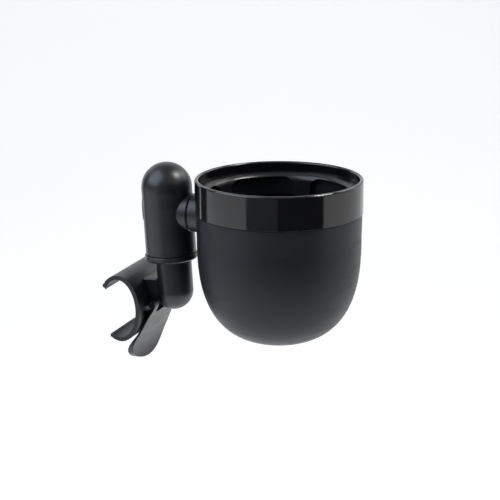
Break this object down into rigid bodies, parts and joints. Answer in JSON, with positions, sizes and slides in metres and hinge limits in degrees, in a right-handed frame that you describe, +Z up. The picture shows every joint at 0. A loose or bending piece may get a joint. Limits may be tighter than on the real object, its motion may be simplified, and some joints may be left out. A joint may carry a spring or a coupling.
{
  "type": "clip-on cup holder",
  "caption": "Deep round cup holder with a removable ribbed liner, carried on a swivelling arm with a snap clip for an oval tube.",
  "frame": {"origin": "centre of the clip's oval tube channel, half way along the clip", "axes": "+Y along the tube, +X from the tube to the cup, +Z up along the cup's axis at rest"},
  "size_m": [0.1438, 0.093, 0.1159],
  "materials": {
    "black_moulded": "satin",
    "matt_bowl": "fine matt texture",
    "gloss_ring": "polished",
    "liner_rubber": "satin",
    "nylon": "natural",
    "steel": "zinc plated",
    "dark_steel": "blackened"
  },
  "bodies": {
    "clip": {"tube_clip": "black_moulded", "lower_housing": "black_moulded", "swivel_collar": "black_moulded", "post_bush": "nylon", "lever_pin": "dark_steel", "lever_springs": "dark_steel"},
    "lever": {"release_lever": "black_moulded"},
    "arm": {"upper_housing": "black_moulded", "pivot_cap": "black_moulded", "swivel_plate": "black_moulded", "plate_screws": "steel", "post_bolt": "steel", "post_washer": "steel", "post_wave_washer": "steel", "post_nut": "steel"},
    "cup": {"cup_bowl": "matt_bowl", "cup_ring": "gloss_ring", "cup_hub": "black_moulded", "cup_pivot_nut": "steel", "cup_pivot_bolt": "steel", "cup_washer": "steel", "cup_wave_washer": "steel", "hub_screws": "steel"},
    "liner": {"cup_liner": "liner_rubber"}
  },
  "joints": [
    {"name": "post_swivel", "type": "hinge", "parent": "clip", "child": "arm", "pos_m": [0.02196, 0, 0.02418], "axis": [-0.0523, 0, 0.9986], "range_deg": [-75, 75]},
    {"name": "cup_pivot", "type": "hinge", "parent": "arm", "child": "cup", "pos_m": [0.03574, 0, 0.05324], "axis": [1, 0, 0], "range_deg": [-90, 90]},
    {"name": "liner_lift", "type": "slide", "parent": "cup", "child": "liner", "axis": [0, 0, 1], "range_m": [0, 0.08]},
    {"name": "lever_hinge", "type": "hinge", "parent": "clip", "child": "lever", "pos_m": [0.0154, 0, 0.00051], "axis": [0, -1, 0], "range_deg": [0, 20], "stiffness_Nm_per_rad": 0.05, "springref_deg": -5.73}
  ]
}
